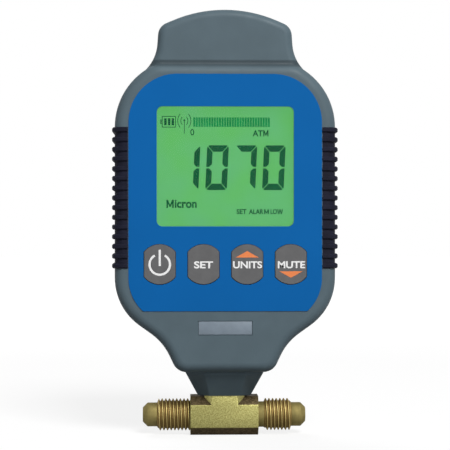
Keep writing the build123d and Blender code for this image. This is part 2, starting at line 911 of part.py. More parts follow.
def main():
    """Write every node."""
    save(front_shell(), "front_shell")
    save(rear_shell(), "rear_shell")
    save(grip(-1), "left_grip")
    save(grip(1), "right_grip")
    save(face_label(), "face_label")
    save(display_window(), "display_window")
    for name, x in zip(key_names, key_x):
        save(push_key(x), f"{name}_key")
        save(switch_plunger(x), f"{name}_plunger")
    save(key_switches(), "key_switches")
    save(lcd_glass(), "lcd_glass")
    save(backlight(), "backlight")
    save(lcd_connectors(), "lcd_connectors")
    save(lcd_frame(), "lcd_frame")
    save(circuit_board(), "circuit_board")
    save(board_screws(), "board_screws")
    save(main_chip(), "main_chip")
    save(buzzer(), "buzzer")
    save(sensor_socket(), "sensor_socket")
    save(sensor_leads(), "sensor_leads")
    save(housing_screws(), "housing_screws")
    save(battery(), "battery")
    save(battery_snap(), "battery_snap")
    save(battery_leads(), "battery_leads")
    save(battery_door(), "battery_door")
    save(battery_pad(), "battery_pad")
    save(flare_tee(), "flare_tee")
    save(stem_seal(), "stem_seal")
    save(stem_clip(), "stem_clip")
    save(sensor_can(), "sensor_can")
    save(sensor_header(), "sensor_header")
    save(sensing_bead(), "sensing_bead")


main()
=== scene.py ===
"""The looks of a handheld digital vacuum gauge that stands on a brass flare tee.

Sizes are millimetres until a piece is put in the scene, which is in metres.
"""

from math import asin, ceil, cos, degrees, pi, radians, sin, tan

import bmesh
import bpy
from bpy.props import FloatProperty, FloatVectorProperty, IntProperty, PointerProperty
from mathutils import Matrix, Vector


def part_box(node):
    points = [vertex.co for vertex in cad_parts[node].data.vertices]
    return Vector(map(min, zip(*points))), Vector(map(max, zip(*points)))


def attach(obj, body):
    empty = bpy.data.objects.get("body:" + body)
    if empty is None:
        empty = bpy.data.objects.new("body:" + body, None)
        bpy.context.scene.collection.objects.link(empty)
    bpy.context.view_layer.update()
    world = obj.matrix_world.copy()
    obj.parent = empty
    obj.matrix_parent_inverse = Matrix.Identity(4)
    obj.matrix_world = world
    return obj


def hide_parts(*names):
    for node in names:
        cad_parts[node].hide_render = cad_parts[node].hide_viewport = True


bl_info = {
    "name": "Vacuum gauge",
    "version": (1, 0, 0),
    "blender": (4, 5, 0),
    "location": "View3D > Sidebar > Gauge",
    "description": "Finishes, print, display, keys and threads of a handheld vacuum gauge",
    "category": "Object",
}

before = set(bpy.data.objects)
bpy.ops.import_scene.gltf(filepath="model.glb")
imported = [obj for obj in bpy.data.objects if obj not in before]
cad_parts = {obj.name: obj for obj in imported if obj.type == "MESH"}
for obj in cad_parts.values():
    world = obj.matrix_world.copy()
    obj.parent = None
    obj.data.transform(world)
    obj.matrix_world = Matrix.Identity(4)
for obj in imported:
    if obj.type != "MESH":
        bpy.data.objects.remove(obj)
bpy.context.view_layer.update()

MILLIMETRE = 0.001
HOUSING = "housing"
KEY_NAMES = ("power", "set", "units", "mute")


def srgb(red, green, blue):
    """A colour as it looks on a screen, 0 to 255, as the linear values that shaders use."""
    shares = [value / 255 for value in (red, green, blue)]
    return tuple(s / 12.92 if s <= 0.04045 else ((s + 0.055) / 1.055) ** 2.4 for s in shares)


def colour(name, description, red, green, blue):
    """A colour property with its default given as screen values."""
    default = srgb(red, green, blue)
    return FloatVectorProperty(
        name=name, description=description, subtype="COLOR", size=3, min=0, max=1, default=default
    )


def length(name, description, default, low):
    """A length property in millimetres, with the least that it may be."""
    return FloatProperty(name=name, description=description, default=default, min=low)


def node_box(node):
    """The lowest and highest corners of a node of the frame, in millimetres."""
    low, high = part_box(node)
    return low / MILLIMETRE, high / MILLIMETRE


class GaugeColours(bpy.types.PropertyGroup):
    """Colours of the finishes."""

    housing: colour("Housing", "Grey of the moulded housing", 88, 104, 112)
    grip: colour("Grips", "Black of the rubber side grips", 30, 31, 44)
    label: colour("Label", "Blue of the printed front label", 18, 101, 172)
    key: colour("Keys", "Grey of the keys", 106, 106, 107)
    legend: colour("Legends", "White of the legends on the keys", 250, 250, 250)
    arrow: colour("Arrows", "Orange of the two triangles", 246, 142, 86)
    plate: colour("Plate", "Grey of the bare plate under the label", 122, 135, 147)
    display: colour("Display", "Green of the lit display", 101, 190, 103)
    segment: colour("Segments", "Dark green of the display's segments", 22, 84, 52)
    bars: colour("Bar graph", "Green of the display's bar graph", 30, 132, 72)
    brass: colour("Brass", "Yellow of the forged brass", 172, 167, 108)
    # Partly painted shade: the brown of the forging skin, darkened for the faces that look up and down
    skin: colour("Forging skin", "Brown of the forging's sloped faces", 104, 90, 64)


class GaugeSizes(bpy.types.PropertyGroup):
    """Sizes of the print, the display's characters and the threads, in millimetres."""

    digit_height: length("Digit height", "Height of the large digits", 15.3, 5)
    digit_width: length("Digit width", "Width of one large digit", 7.4, 3)
    digit_pitch: length("Digit pitch", "Step from digit to digit", 9.73, 4)
    digit_upright: length("Upright stroke", "Width of an upright segment", 1.95, 0.5)
    digit_level: length("Level stroke", "Height of a level segment", 2.2, 0.5)
    digit_slant: FloatProperty(
        name="Digit slant", description="Lean of the large digits", subtype="ANGLE", default=radians(2.6)
    )
    bar_count: IntProperty(name="Bars", description="Number of bars in the bar graph", default=30, min=2)
    thread_pitch: length("Thread pitch", "20 threads to the inch", 1.27, 0.5)
    thread_depth: length("Thread depth", "Crest to root", 0.80, 0.2)


class GaugeLooks(bpy.types.PropertyGroup):
    """Everything that a user of the gauge would change."""

    colours: PointerProperty(type=GaugeColours)
    sizes: PointerProperty(type=GaugeSizes)


def looks():
    """The scene's gauge settings."""
    return bpy.context.scene.gauge_looks


def finish_of(name, base, roughness, metallic=0.0, specular=0.5):
    """A new material with its plain values set on the shader's own sockets."""
    material = bpy.data.materials.new(name)
    material.use_nodes = True
    shader = material.node_tree.nodes["Principled BSDF"]
    shader.inputs["Base Color"].default_value = (*base, 1)
    shader.inputs["Roughness"].default_value = roughness
    shader.inputs["Metallic"].default_value = metallic
    shader.inputs["Specular IOR Level"].default_value = specular
    return material


def feed(tree, socket, value):
    """Set a socket to a value, or join it to another node's output."""
    if isinstance(value, bpy.types.NodeSocket):
        tree.links.new(value, socket)
    else:
        socket.default_value = value


def map_range(tree, value, start, end, low, high, smooth=False):
    """The value's run from start to end as a run from low to high, each a number or a socket."""
    node = tree.nodes.new("ShaderNodeMapRange")
    if smooth:
        node.interpolation_type = "SMOOTHSTEP"
    given = {"Value": value, "From Min": start, "From Max": end, "To Min": low, "To Max": high}
    for name, end_value in given.items():
        feed(tree, node.inputs[name], end_value)
    return node.outputs["Result"]


def combine(tree, operation, first, second):
    """One value out of two."""
    node = tree.nodes.new("ShaderNodeMath")
    node.operation = operation
    feed(tree, node.inputs[0], first)
    feed(tree, node.inputs[1], second)
    return node.outputs["Value"]


def noise_of(tree, size, detail=2.0):
    """A noise on the object's own coordinates, whose blotches are about size millimetres wide."""
    place = tree.nodes.new("ShaderNodeTexCoord")
    noise = tree.nodes.new("ShaderNodeTexNoise")
    noise.inputs["Scale"].default_value = 1 / (size * MILLIMETRE)
    noise.inputs["Detail"].default_value = detail
    tree.links.new(place.outputs["Object"], noise.inputs["Vector"])
    return noise.outputs["Fac"]


def two_shades(tree, size, light, dark, detail=2.0, spread=0.15):
    """A colour that wanders between two shades."""
    ramp = tree.nodes.new("ShaderNodeValToRGB")
    low, high = ramp.color_ramp.elements
    low.position, high.position = 0.5 - spread, 0.5 + spread
    low.color, high.color = (*dark, 1), (*light, 1)
    tree.links.new(noise_of(tree, size, detail), ramp.inputs["Fac"])
    return ramp.outputs["Color"]


def vary_colour(material, size, light, dark, detail=2.0):
    """Let the base colour wander between two shades."""
    tree = material.node_tree
    shades = two_shades(tree, size, light, dark, detail)
    tree.links.new(shades, tree.nodes["Principled BSDF"].inputs["Base Color"])


def paint_shade_band(material, low, high, edge, share):
    """Paint shade: darken the colour between two heights, in millimetres, crisply above and softly below.
    """
    tree = material.node_tree
    base = tree.nodes["Principled BSDF"].inputs["Base Color"]
    place = tree.nodes.new("ShaderNodeTexCoord")
    split = tree.nodes.new("ShaderNodeSeparateXYZ")
    tree.links.new(place.outputs["Object"], split.inputs["Vector"])
    height = split.outputs["Z"]
    low, middle, top, high = (z * MILLIMETRE for z in (low, (low + high) / 2, high - edge, high))
    below = map_range(tree, height, low, middle, 0, 1, smooth=True)
    above = map_range(tree, height, high, top, 0, 1, smooth=True)
    dark = tree.nodes.new("ShaderNodeMix")
    dark.data_type = "RGBA"
    dark.blend_type = "MULTIPLY"
    dark.inputs["B"].default_value = (share, share, share, 1)
    tree.links.new(combine(tree, "MULTIPLY", below, above), dark.inputs["Factor"])
    tree.links.new(base.links[0].from_socket, dark.inputs["A"])
    tree.links.new(dark.outputs["Result"], base)


def vary_roughness(material, size, low, high):
    """Let the roughness wander between two values."""
    tree = material.node_tree
    spread = map_range(tree, noise_of(tree, size, detail=3.0), 0.3, 0.7, low, high)
    tree.links.new(spread, tree.nodes["Principled BSDF"].inputs["Roughness"])


def add_grain(material, size, height, detail=2.0):
    """A fine surface texture: bumps about size wide and height high, in millimetres."""
    tree = material.node_tree
    bump = tree.nodes.new("ShaderNodeBump")
    bump.inputs["Strength"].default_value = 1.0
    bump.inputs["Distance"].default_value = height * MILLIMETRE
    tree.links.new(noise_of(tree, size, detail), bump.inputs["Height"])
    tree.links.new(bump.outputs["Normal"], tree.nodes["Principled BSDF"].inputs["Normal"])


def shade(base, factor):
    """A colour made lighter or darker."""
    return tuple(min(1.0, value * factor) for value in base)


def moulded_plastic():
    """Grey plastic from a spark-eroded mould, with painted shade in the fold under the tab."""
    base = tuple(looks().colours.housing)
    material = finish_of("moulded_plastic", base, 0.5, specular=0.15)
    vary_colour(material, 9, shade(base, 1.04), shade(base, 0.96))
    # Painted shade: a darker band across the fold under the tab, where the fold lies in shade
    paint_shade_band(material, low=126.2, high=129.6, edge=0.7, share=0.5)
    vary_roughness(material, 3, 0.42, 0.54)
    add_grain(material, 0.35, 0.02)
    return material


def grip_rubber():
    """Black rubber, matt, with a faint bloom."""
    base = tuple(looks().colours.grip)
    material = finish_of("grip_rubber", base, 0.6, specular=0.08)
    vary_colour(material, 4, shade(base, 1.25), shade(base, 0.8), detail=4)
    vary_roughness(material, 2, 0.5, 0.68)
    add_grain(material, 0.25, 0.025)
    return material


def label_film():
    """Blue reverse-printed film with a velvet front."""
    base = tuple(looks().colours.label)
    material = finish_of("label_film", base, 0.45, specular=0.03)
    vary_colour(material, 30, shade(base, 1.03), shade(base, 0.97))
    add_grain(material, 0.18, 0.004)
    return material


def key_plastic():
    """The keys' grey, soft to the touch."""
    base = tuple(looks().colours.key)
    material = finish_of("key_plastic", base, 0.5, specular=0.1)
    vary_colour(material, 3, shade(base, 1.05), shade(base, 0.95))
    add_grain(material, 0.15, 0.006)
    return material


def print_ink(name, base):
    """Screen-printed ink, a little uneven at its full strength."""
    material = finish_of(name, base, 0.5, specular=0.2)
    vary_colour(material, 0.6, base, shade(base, 0.94))
    return material


def clear_acrylic():
    """The window's clear acrylic, coated against glare, with the faintest waviness."""
    material = finish_of("clear_acrylic", (1, 1, 1), 0.0, specular=0.0)
    shader = material.node_tree.nodes["Principled BSDF"]
    shader.inputs["Transmission Weight"].default_value = 1.0
    shader.inputs["IOR"].default_value = 1.13
    add_grain(material, 12, 0.002)
    return material


def lit_display():
    """The liquid crystal field, lit from behind and not quite evenly."""
    base = tuple(looks().colours.display)
    material = finish_of("lit_display", shade(base, 0.1), 0.3, specular=0.0)
    tree = material.node_tree
    shader = tree.nodes["Principled BSDF"]
    red, green, blue = base
    yellower = (red * 0.96, green, blue * 0.92)
    bluer = (red * 1.04, green * 0.99, blue * 1.5)
    shades = two_shades(tree, 14, bluer, yellower, detail=1, spread=0.2)
    tree.links.new(shades, shader.inputs["Emission Color"])
    shader.inputs["Emission Strength"].default_value = 0.8
    return material


def crystal(name, base):
    """A dark segment of the display, with a little of the backlight coming through."""
    material = finish_of(name, shade(base, 0.3), 0.4, specular=0.0)
    shader = material.node_tree.nodes["Principled BSDF"]
    shader.inputs["Emission Color"].default_value = (*base, 1)
    shader.inputs["Emission Strength"].default_value = 0.7
    vary_colour(material, 2, shade(base, 0.4), shade(base, 0.2))
    return material


def forged_brass():
    """Brass with the orange-peel grain of a blasted forging, its colour wandering at random into darker,
    browner blotches.
    """
    base = tuple(looks().colours.brass)
    red, green, blue = base
    material = finish_of("forged_brass", base, 0.4, metallic=1.0)
    vary_colour(material, 0.45, shade(base, 1.25), (red * 0.72, green * 0.7, blue * 0.6), detail=2)
    vary_roughness(material, 0.8, 0.38, 0.52)
    add_grain(material, 0.36, 0.06, detail=2)
    return material


def forge_skin_and_painted_shade():
    """Partly the browner skin that the press leaves on the forging's sloped faces, partly painted shade:
    the faces that look up and down are darkened for the dark that they reflect.
    """
    base = tuple(looks().colours.skin)
    material = finish_of("forge_skin_and_painted_shade", base, 0.6, metallic=0.4, specular=0.1)
    vary_colour(material, 0.7, shade(base, 1.3), shade(base, 0.6), detail=4)
    vary_roughness(material, 0.8, 0.55, 0.7)
    add_grain(material, 0.45, 0.06, detail=3)
    return material


def turned_brass():
    """Bright brass off the lathe: the crests of the threads, and the stem."""
    red, green, blue = tuple(looks().colours.brass)
    base = (red * 1.45, green * 1.25, blue * 1.3)
    material = finish_of("turned_brass", base, 0.6, metallic=0.9, specular=0.2)
    vary_colour(material, 2.4, shade(base, 1.05), shade(base, 0.9), detail=2)
    vary_roughness(material, 1, 0.55, 0.65)
    add_grain(material, 0.12, 0.002)
    return material


def thread_valley_shade():
    """Painted shade: the thread's flanks and roots in a darker, browner brass, for the shade in the
    thread's grooves.
    """
    red, green, blue = tuple(looks().colours.brass)
    base = (red * 0.75, green * 0.56, blue * 0.52)
    material = finish_of("thread_valley_shade", base, 0.6, metallic=0.9, specular=0.1)
    vary_colour(material, 2.4, shade(base, 1.05), shade(base, 0.9), detail=2)
    return material


def nose_brass():
    """The duller brass of the plain turned faces: noses, seats and neck."""
    red, green, blue = tuple(looks().colours.brass)
    base = (red * 0.68, green * 0.6, blue * 0.6)
    material = finish_of("nose_brass", base, 0.7, metallic=0.9, specular=0.1)
    vary_colour(material, 3.0, shade(base, 1.1), shade(base, 0.85), detail=2)
    vary_roughness(material, 1, 0.66, 0.74)
    add_grain(material, 0.12, 0.002)
    return material


def plain_finish(name, base, roughness, metallic=0.0, spread=0.1, size=1.5, height=0.004):
    """A simple finish with a little life in its colour and surface."""
    material = finish_of(name, base, roughness, metallic)
    vary_colour(material, size, shade(base, 1 + spread), shade(base, 1 - spread), detail=3)
    add_grain(material, size / 4, height)
    return material


def put(bm, name, materials, body, slot, replaced=(), smooth=40):
    """Turn a bmesh in millimetres into a piece that rides on a body, in one finish or a tuple of them."""
    bmesh.ops.scale(bm, vec=(MILLIMETRE,) * 3, verts=bm.verts)
    mesh = bpy.data.meshes.new(name)
    bm.to_mesh(mesh)
    bm.free()
    piece = bpy.data.objects.new(name, mesh)
    bpy.context.scene.collection.objects.link(piece)
    for material in materials if isinstance(materials, tuple) else (materials,):
        mesh.materials.append(material)
    mesh.shade_smooth()
    mesh.set_sharp_from_angle(angle=radians(smooth))
    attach(piece, body)
    if replaced:
        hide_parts(*replaced)
    return piece


def paint(node, material):
    """Give a node of the frame its finish."""
    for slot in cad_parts[node].material_slots:
        slot.material = material


def extrude_outline(bm, points, front, back):
    """Extrude a front-view outline, given as (x, z) points, from its front depth to its back."""
    corners = [bm.verts.new((x, front, z)) for x, z in points]
    face = bm.faces.new(corners)
    grown = bmesh.ops.extrude_face_region(bm, geom=[face])
    moved = [item for item in grown["geom"] if isinstance(item, bmesh.types.BMVert)]
    bmesh.ops.translate(bm, vec=(0, back - front, 0), verts=moved)


def arc_points(centre, radius, start, end, steps):
    """Points (x, z) along an arc seen from the front, angles in degrees from +X."""
    x, z = centre
    turns = [radians(start + (end - start) * i / steps) for i in range(steps + 1)]
    return [(x + radius * cos(turn), z + radius * sin(turn)) for turn in turns]


def stroke_arc(bm, centre, radius, width, start, end, front, back, steps):
    """A band of even width along an arc."""
    outer = arc_points(centre, radius + width / 2, start, end, steps)
    inner = arc_points(centre, radius - width / 2, end, start, steps)
    extrude_outline(bm, outer + inner, front, back)


def bar(bm, x0, x1, z0, z1, front, back):
    """A plain rectangle of print."""
    extrude_outline(bm, [(x0, z0), (x1, z0), (x1, z1), (x0, z1)], front, back)


def face_outwards(bm):
    """Point all faces outwards."""
    bmesh.ops.recalc_face_normals(bm, faces=bm.faces)


def round_off(bm, edges, offset, segments=1, clamp=False):
    """Bevel some edges."""
    bmesh.ops.bevel(
        bm,
        geom=edges,
        offset=offset,
        segments=segments,
        profile=0.5,
        affect="EDGES",
        clamp_overlap=clamp,
        material=-1,
    )


def lettering(words, width, height, x, base_z, front, thickness, weight):
    """A bmesh of plain letters, its left end at x, standing on base_z, thickness deep."""
    curve = bpy.data.curves.new("letters", "FONT")
    curve.body = words
    curve.offset = weight
    curve.extrude = 0.5
    curve.fill_mode = "BOTH"
    letters = bpy.data.objects.new("letters", curve)
    bpy.context.scene.collection.objects.link(letters)
    bpy.context.view_layer.update()
    evaluated = letters.evaluated_get(bpy.context.evaluated_depsgraph_get())
    mesh = bpy.data.meshes.new_from_object(evaluated)
    bm = bmesh.new()
    bm.from_mesh(mesh)
    bpy.data.objects.remove(letters)
    bpy.data.curves.remove(curve)
    bpy.data.meshes.remove(mesh)
    bmesh.ops.remove_doubles(bm, verts=bm.verts, dist=1e-5)
    left = min(v.co.x for v in bm.verts)
    right = max(v.co.x for v in bm.verts)
    low = min(v.co.y for v in bm.verts)
    top = max(v.co.y for v in bm.verts)
    bmesh.ops.translate(bm, vec=(-left, -low, 0), verts=bm.verts)
    size = (width / (right - left), height / (top - low), thickness)
    bmesh.ops.scale(bm, vec=size, verts=bm.verts)
    bmesh.ops.rotate(bm, matrix=Matrix.Rotation(radians(90), 3, "X"), verts=bm.verts)
    bmesh.ops.translate(bm, vec=(x, front + thickness / 2, base_z), verts=bm.verts)
    return bm


def merge(target, source):
    """Add one bmesh to another."""
    mesh = bpy.data.meshes.new("part")
    source.to_mesh(mesh)
    source.free()
    target.from_mesh(mesh)
    bpy.data.meshes.remove(mesh)


def segment_outlines(width, height, upright, level, middle_gap):
    """The outer segments of a digit as outlines of (x, z) points, keyed by their usual letters."""
    middle = height / 2
    clear = middle_gap / 2
    half = upright / 2
    tip, cut, slit = 0.38, 0.25, 0.14
    top = [
        (tip, height - cut),
        (tip + cut, height),
        (width - tip - cut, height),
        (width - tip, height - cut),
        (width - upright - slit, height - level),
        (upright + slit, height - level),
    ]
    upper_right = [
        (width - cut, height - tip - slit / 2),
        (width, height - tip - 1.5 * cut),
        (width, middle + clear),
        (width - half, middle + clear),
        (width - upright, middle + half + clear),
        (width - upright, height - level - slit),
    ]
    upper_left = [(width - x, z) for x, z in reversed(upper_right)]
    lower_right = [(x, height - z) for x, z in reversed(upper_right)]
    lower_left = [(width - x, z) for x, z in reversed(lower_right)]
    bottom = [(x, height - z) for x, z in reversed(top)]
    return dict(zip("abcdef", (top, upper_right, lower_right, bottom, lower_left, upper_left)))


def zigzag(bm, turns, left, low, width, height, stroke, front, back):
    """A letter of straight strokes, whose turns are shares of its width and height."""
    places = [(left + across * (width - stroke), low + up * height) for across, up in turns]
    for (x0, z0), (x1, z1) in zip(places, places[1:]):
        extrude_outline(bm, [(x0, z0), (x0 + stroke, z0), (x1 + stroke, z1), (x1, z1)], front, back)


class GAUGE_OT_housing(bpy.types.Operator):
    """Finish the two housing halves, the battery door and its screws"""

    bl_idname = "gauge.housing"
    bl_label = "Housing"

    def execute(self, context):
        plastic = moulded_plastic()
        for node in ("front_shell", "rear_shell", "battery_door"):
            paint(node, plastic)
        zinc = plain_finish("zinc_plate", srgb(176, 178, 182), 0.35, metallic=1.0)
        paint("housing_screws", zinc)
        return {"FINISHED"}


class GAUGE_OT_grips(bpy.types.Operator):
    """Finish the ribbed rubber grips"""

    bl_idname = "gauge.grips"
    bl_label = "Grips"

    def execute(self, context):
        rubber = grip_rubber()
        for node in ("left_grip", "right_grip"):
            paint(node, rubber)
        return {"FINISHED"}


class GAUGE_OT_label(bpy.types.Operator):
    """Finish the blue label and set the bare plate in its recess"""

    bl_idname = "gauge.label"
    bl_label = "Label and plate"

    plate_width = 18.1
    plate_height = 4.5
    plate_z = 37.85
    plate_sunk = 0.1
    plate_base = 0.35

    def execute(self, context):
        paint("face_label", label_film())
        shell_low, _ = node_box("front_shell")
        face_y = shell_low.y
        bm = bmesh.new()
        bar(
            bm,
            -self.plate_width / 2,
            self.plate_width / 2,
            self.plate_z - self.plate_height / 2,
            self.plate_z + self.plate_height / 2,
            face_y + self.plate_sunk,
            face_y + self.plate_base,
        )
        face_outwards(bm)
        limit_y = face_y + (self.plate_sunk + self.plate_base) / 2
        front = [edge for edge in bm.edges if all(vert.co.y < limit_y for vert in edge.verts)]
        round_off(bm, front, self.plate_sunk, segments=2)
        base = tuple(looks().colours.plate)
        metal = plain_finish("bare_plate", base, 0.45, size=2.5, spread=0.05, height=0.003)
        put(bm, "bare_plate", metal, HOUSING, "housing_plastic")
        return {"FINISHED"}


class GAUGE_OT_display(bpy.types.Operator):
    """Build the window's finish and everything that the display shows"""

    bl_idname = "gauge.display"
    bl_label = "Display"

    lift = 0.005
    thickness = 0.01
    digits = ("bc", "abcdef", "abc", "abcdef")
    digits_right = 20.4
    digits_low_z = 84.85
    middle_gap = 0.5
    segment_round = 0.14
    bars_left = -10.9
    bars_right = 15.5
    bars_low_z = 106.43
    bars_high_z = 109.68
    bar_share = 0.8
    battery_left = -21.6
    battery_right = -16.8
    battery_low_z = 106.2
    battery_high_z = 110.1
    outline_width = 0.25
    cap_share = 0.4
    cell_count = 3
    cell_width = 0.82
    cell_inset = 0.8
    mast_x = -13.93
    mast_top_z = 108.5
    mast_low_z = 104.1
    mast_knob_radius = 0.34
    mast_knob_lift = 0.2
    mast_knob_sides = 12
    waves = ((2.25, 2.3), (1.2, 1.35))
    wave_bow = 0.36
    letter_m = ((0, 0), (0, 1), (0.5, 0.15), (1, 1), (1, 0))
    letter_w = ((0, 1), (0.25, 0), (0.5, 1), (0.75, 0), (1, 1))
    unit_row = (78.7, 2.85)
    alarm_row = (76.6, 1.75)
    scale_row = (103.2, 2.15)
    zero_row = (103.5, 2.2)
    # Drawn letters: turns, foot and height, left end, width, stroke
    drawn = (
        (letter_m, unit_row, -20.05, 2.5, 0.52),
        (letter_m, scale_row, 13.05, 1.8, 0.4),
        (letter_m, alarm_row, 13.35, 1.65, 0.36),
        (letter_w, alarm_row, 17.75, 2.1, 0.34),
    )
    # Letters of the plain font: words, foot and height, left end, width, weight
    typed = (
        ("icron", unit_row, -17.2, 7.5, 0.03),
        ("SET", alarm_row, 3.9, 3.45, 0.03),
        ("ALAR", alarm_row, 8.1, 5.05, 0.032),
        ("LO", alarm_row, 15.55, 2.2, 0.032),
        ("AT", scale_row, 9.4, 3.5, 0.03),
        ("0", zero_row, -11.9, 1.35, 0.014),
    )

    def depths(self):
        """The front and back of the crystal's figures."""
        low, _ = node_box("lcd_glass")
        back = low.y - self.lift
        return back - self.thickness, back

    def large_digits(self):
        """The four slanted seven-segment digits."""
        sizes = looks().sizes
        front, back = self.depths()
        bm = bmesh.new()
        outlines = segment_outlines(
            sizes.digit_width, sizes.digit_height, sizes.digit_upright, sizes.digit_level, self.middle_gap
        )
        lean = tan(sizes.digit_slant)
        for place, lit in enumerate(self.digits):
            right = self.digits_right - (len(self.digits) - 1 - place) * sizes.digit_pitch
            left = right - sizes.digit_width
            for letter in lit:
                points = [
                    (left + x + (z - sizes.digit_height / 2) * lean, self.digits_low_z + z)
                    for x, z in outlines[letter]
                ]
                extrude_outline(bm, points, front, back)
        face_outwards(bm)
        upright = [e for e in bm.edges if abs(e.verts[0].co.y - e.verts[1].co.y) > self.thickness / 2]
        round_off(bm, upright, self.segment_round, segments=2)
        return bm

    def bar_graph(self):
        """The row of bars along the top."""
        front, back = self.depths()
        count = looks().sizes.bar_count
        pitch = (self.bars_right - self.bars_left) / count
        bm = bmesh.new()
        for i in range(count):
            x = self.bars_left + i * pitch
            end = x + pitch * self.bar_share
            bar(bm, x, end, self.bars_low_z, self.bars_high_z, front, back)
        face_outwards(bm)
        return bm

    def battery_sign(self, bm, front, back):
        """The battery's outline with its cap and cells."""
        width = self.outline_width
        left, right = self.battery_left, self.battery_right
        low, high = self.battery_low_z, self.battery_high_z
        bar(bm, left, right, high - width, high, front, back)
        bar(bm, left, right, low, low + width, front, back)
        bar(bm, left, left + width, low + width, high - width, front, back)
        bar(bm, right - width, right, low + width, high - width, front, back)
        cap_half = (high - low) * self.cap_share / 2
        middle = (high + low) / 2
        bar(bm, left - 2 * width, left - width / 2, middle - cap_half, middle + cap_half, front, back)
        step = (right - left - 4 * width) / self.cell_count
        for i in range(self.cell_count):
            x = left + self.cell_inset + i * step
            bar(bm, x, x + self.cell_width, low + 3 * width, high - 3 * width, front, back)

    def mast_sign(self, bm, front, back):
        """The mast with its knob, and waves to both sides."""
        width = self.outline_width
        x, top_z = self.mast_x, self.mast_top_z
        bar(bm, x - width / 2, x + width / 2, self.mast_low_z, top_z, front, back)
        for reach, half_height in self.waves:
            bow = self.wave_bow * half_height
            radius = (half_height**2 + bow**2) / (2 * bow)
            spread = degrees(asin(half_height / radius))
            for turn, side in ((0, 1), (180, -1)):
                centre = (x + side * (reach - radius), top_z)
                start, end = turn - spread, turn + spread
                stroke_arc(bm, centre, radius, width, start, end, front, back, steps=12)
        gaps = self.mast_knob_sides - 1
        last = 360 * gaps / self.mast_knob_sides
        knob = arc_points((x, top_z + self.mast_knob_lift), self.mast_knob_radius, 0, last, gaps)
        extrude_outline(bm, knob, front, back)

    def symbols(self):
        """The battery, the mast with its waves, and the small words."""
        front, back = self.depths()
        bm = bmesh.new()
        self.battery_sign(bm, front, back)
        self.mast_sign(bm, front, back)
        for turns, (foot, height), left, width, stroke in self.drawn:
            zigzag(bm, turns, left, foot, width, height, stroke, front, back)
        face_outwards(bm)
        for words, (foot, height), left, width, weight in self.typed:
            merge(bm, lettering(words, width, height, left, foot, front, self.thickness, weight))
        return bm

    def execute(self, context):
        paint("display_window", clear_acrylic())
        paint("lcd_glass", lit_display())
        colours = looks().colours
        dark = crystal("crystal_dark", tuple(colours.segment))
        light = crystal("crystal_light", tuple(colours.bars))
        put(self.large_digits(), "display_digits", dark, HOUSING, "display_glass")
        put(self.bar_graph(), "display_bars", light, HOUSING, "display_glass")
        put(self.symbols(), "display_symbols", dark, HOUSING, "display_glass")
        return {"FINISHED"}


class GAUGE_OT_keys(bpy.types.Operator):
    """Finish the four keys and print their legends"""

    bl_idname = "gauge.keys"
    bl_label = "Keys"

    ink = 0.03
    ring_radius = 3.47
    ring_width = 0.74
    ring_gap = 29
    stem_width = 0.74
    stem_top = 5.0
    stem_foot = -0.5
    word_height = 2.45
    word_weight = 0.03
    word_width = {"set": 6.45, "units": 9.9, "mute": 9.3}
    word_base = -1.35
    word_shift = {"set": 0.0, "units": 0.1, "mute": 0.2}
    arrow_width = 7.9
    arrow_height = 2.2
    arrow_base = 2.35

    def power_sign(self, x, z, front, back):
        """The broken ring and its stem."""
        bm = bmesh.new()
        start, end = 90 + self.ring_gap, 450 - self.ring_gap
        stroke_arc(bm, (x, z), self.ring_radius, self.ring_width, start, end, front, back, steps=64)
        half = self.stem_width / 2
        bar(bm, x - half, x + half, z + self.stem_foot, z + self.stem_top, front, back)
        face_outwards(bm)
        return bm

    def arrow(self, x, z, sign, front, back):
        """A flat triangle that points up or down."""
        bm = bmesh.new()
        half = self.arrow_width / 2
        base = z + sign * self.arrow_base
        tip = base + sign * self.arrow_height
        extrude_outline(bm, [(x - half, base), (x + half, base), (x, tip)], front, back)
        face_outwards(bm)
        return bm

    def execute(self, context):
        colours = looks().colours
        plastic = key_plastic()
        white = print_ink("white_ink", tuple(colours.legend))
        orange = print_ink("orange_ink", tuple(colours.arrow))
        for name in KEY_NAMES:
            body = f"{name}_button"
            paint(f"{name}_key", plastic)
            low, high = node_box(f"{name}_key")
            x, z = (low.x + high.x) / 2, (low.z + high.z) / 2
            back = low.y
            front = back - self.ink
            if name == "power":
                legend = self.power_sign(x, z, front, back)
            else:
                width, height = self.word_width[name], self.word_height
                left = x + self.word_shift[name] - width / 2
                base = z + self.word_base
                legend = lettering(
                    name.upper(), width, height, left, base, front, self.ink, self.word_weight
                )
            put(legend, f"{name}_legend", white, body, "key_plastic")
            if name in ("units", "mute"):
                arrow = self.arrow(x, z, 1 if name == "units" else -1, front, back)
                put(arrow, f"{name}_arrow", orange, body, "key_plastic")
        return {"FINISHED"}


